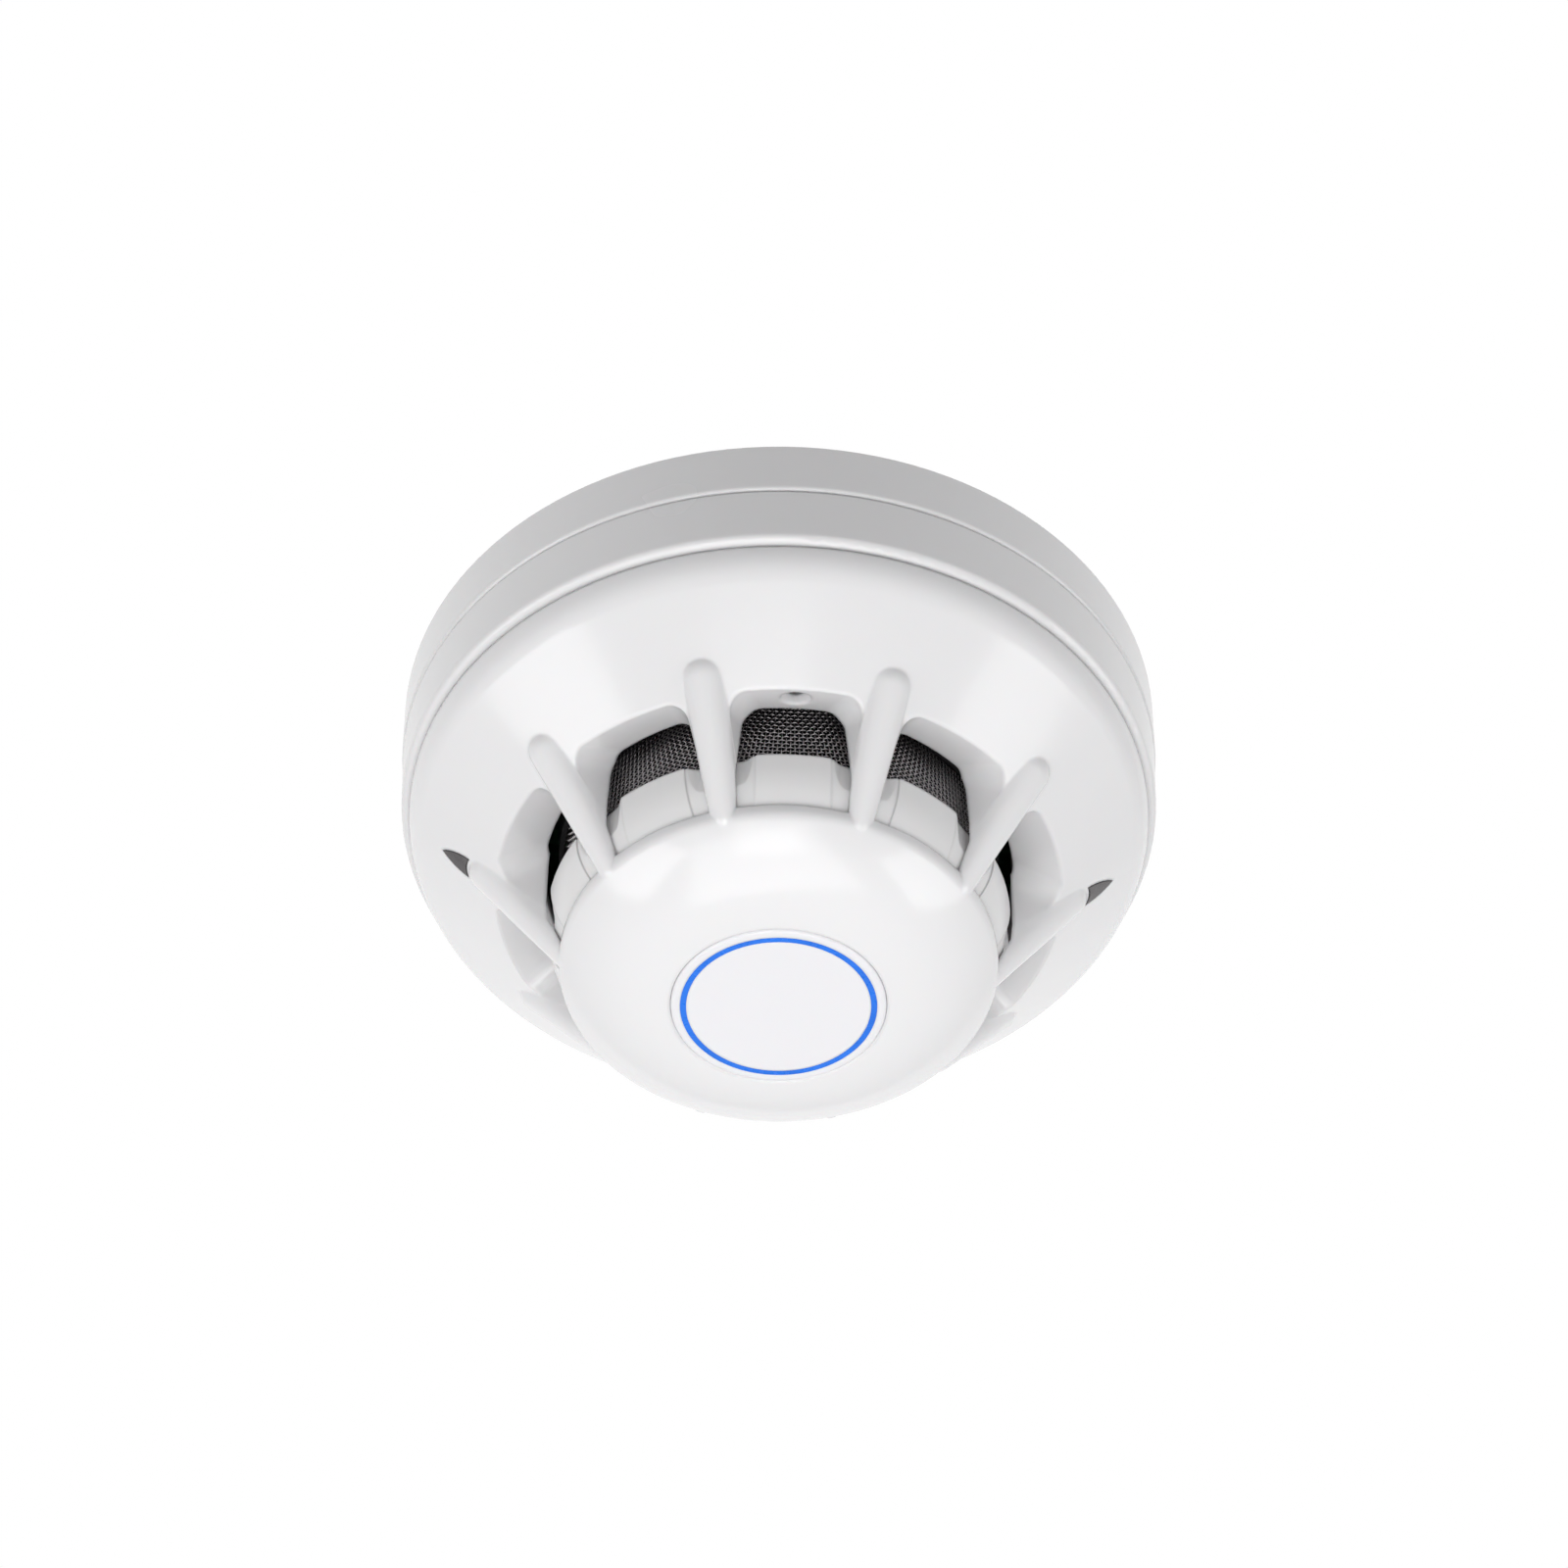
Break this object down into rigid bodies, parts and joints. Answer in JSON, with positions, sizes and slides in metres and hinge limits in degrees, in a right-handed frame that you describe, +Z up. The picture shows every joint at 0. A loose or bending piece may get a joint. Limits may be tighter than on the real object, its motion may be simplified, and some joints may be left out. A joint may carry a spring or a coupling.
{
  "type": "combined heat and smoke detector",
  "caption": "Ceiling fire detector: domed white head with tall side windows over a dark insect mesh and a blue ring in its nose, on a round twist-lock base.",
  "frame": {"origin": "centre of the base's face that lies against the ceiling", "axes": "+Z up into the ceiling, -Y towards the window that has the lock's access hole, +X to the right seen from the front"},
  "size_m": [0.1, 0.1, 0.0504],
  "materials": {
    "white_shell": "gloss",
    "insect_mesh": "satin",
    "led_lens": "gloss",
    "blue_trim": "gloss",
    "spring_steel": "satin",
    "plated_steel": "satin",
    "contact_brass": "satin",
    "black_plastic": "matte",
    "board_green": "satin",
    "chip_black": "matte",
    "capacitor_can": "satin",
    "led_resin": "gloss",
    "emitter_resin": "gloss",
    "sensor_bead": "gloss",
    "sleeve": "matte"
  },
  "bodies": {
    "base": {"base_ring": "white_shell", "contact_springs": "spring_steel", "clamp_washers": "plated_steel", "terminal_screws": "plated_steel", "lock_spring": "spring_steel", "lock_cap": "black_plastic"},
    "lock_pin": {"lock_pin": "plated_steel"},
    "head": {"rear_housing": "white_shell", "contact_blades": "contact_brass", "contact_rivets": "contact_brass", "cover_screws": "plated_steel", "outer_cover": "white_shell", "left_led_lens": "led_lens", "right_led_lens": "led_lens", "nose_insert": "white_shell", "blue_ring": "blue_trim", "deflector_ring": "white_shell", "insect_mesh": "insect_mesh", "optical_block": "black_plastic", "labyrinth": "black_plastic", "chamber_lid": "black_plastic", "ir_emitter": "emitter_resin", "photodiode": "chip_black", "diode_screen": "plated_steel", "thermistors": "sensor_bead", "thermistor_sleeves": "sleeve", "circuit_board": "board_green", "board_screws": "plated_steel", "microcontroller": "chip_black", "small_chips": "chip_black", "capacitors": "capacitor_can", "right_led": "led_resin", "left_led": "led_resin"}
  },
  "joints": [
    {"name": "head_twist", "type": "hinge", "parent": "base", "child": "head", "pos_m": [0, 0, 0], "axis": [0, 0, -1], "range_deg": [0, 20]},
    {"name": "lock_press", "type": "slide", "parent": "base", "child": "lock_pin", "axis": [0, 0, 1], "range_m": [0, 0.0013], "stiffness_N_per_m": 200, "springref_m": -0.003, "deforming": ["lock_spring"]}
  ]
}
